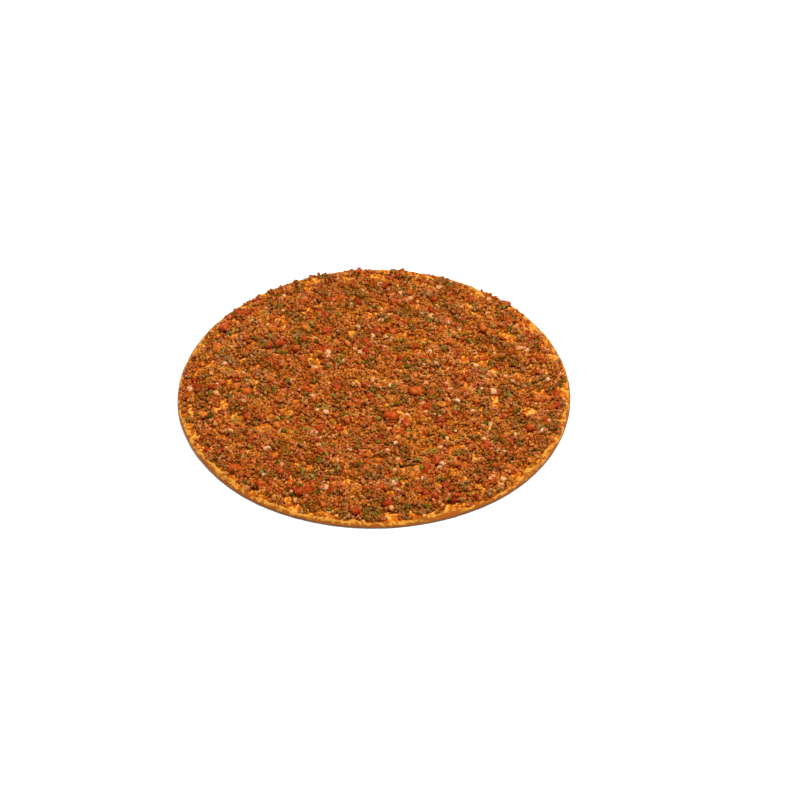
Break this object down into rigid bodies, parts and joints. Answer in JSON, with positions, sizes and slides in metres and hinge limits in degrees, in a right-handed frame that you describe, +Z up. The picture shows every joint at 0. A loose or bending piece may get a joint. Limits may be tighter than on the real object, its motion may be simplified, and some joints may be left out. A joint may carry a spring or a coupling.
{
  "type": "lahmacun",
  "caption": "Thin round flatbread with a low baked rim, covered almost to its edge with a crumbly spread of spiced minced meat, tomato, onion and herbs.",
  "frame": {"origin": "on the resting plane, at the middle of the box round the flatbread", "axes": "+Z up through the thickness, topping side up; -Y is the side nearest the viewer, +X to the viewer's right"},
  "size_m": [0.2806, 0.2794, 0.0059],
  "materials": {
    "baked_dough": "matte, browned",
    "minced_topping": "crumbly, slightly oily"
  },
  "bodies": {
    "root": {"flatbread": "baked_dough", "mince_topping": "minced_topping"}
  },
  "joints": []
}
